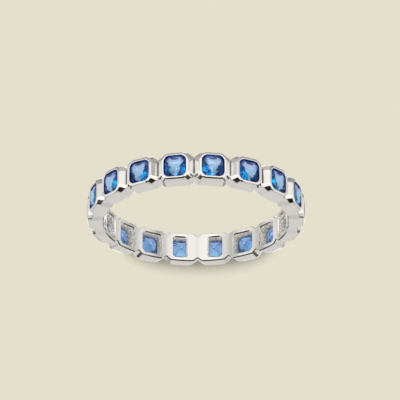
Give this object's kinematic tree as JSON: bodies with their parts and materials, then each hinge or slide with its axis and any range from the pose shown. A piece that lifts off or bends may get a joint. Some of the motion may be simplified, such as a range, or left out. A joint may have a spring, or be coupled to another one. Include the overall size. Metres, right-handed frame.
{
  "type": "eternity ring",
  "caption": "Finger ring set all the way round with square step-cut stones in raised square rims, with V notches between the settings and an open window behind each stone.",
  "frame": {"origin": "on the surface that the ring lies on, under the middle of the finger hole", "axes": "+Z along the finger's axis, upwards as the ring lies on its side; +Y towards the bare plate inside the band"},
  "size_m": [0.0204, 0.0204, 0.0029],
  "materials": {
    "polished_silver": "polished cast sterling silver, with fine wear on the rims and a rougher cast surface inside the windows",
    "blue_stone": "polished facets, clear sky blue with deep blue corners"
  },
  "bodies": {
    "root": {"setting_band": "polished_silver", "stone_01": "blue_stone", "stone_02": "blue_stone", "stone_03": "blue_stone", "stone_04": "blue_stone", "stone_05": "blue_stone", "stone_06": "blue_stone", "stone_07": "blue_stone", "stone_08": "blue_stone", "stone_09": "blue_stone", "stone_10": "blue_stone", "stone_11": "blue_stone", "stone_12": "blue_stone", "stone_13": "blue_stone", "stone_14": "blue_stone", "stone_15": "blue_stone", "stone_16": "blue_stone", "stone_17": "blue_stone", "stone_18": "blue_stone"}
  },
  "joints": []
}
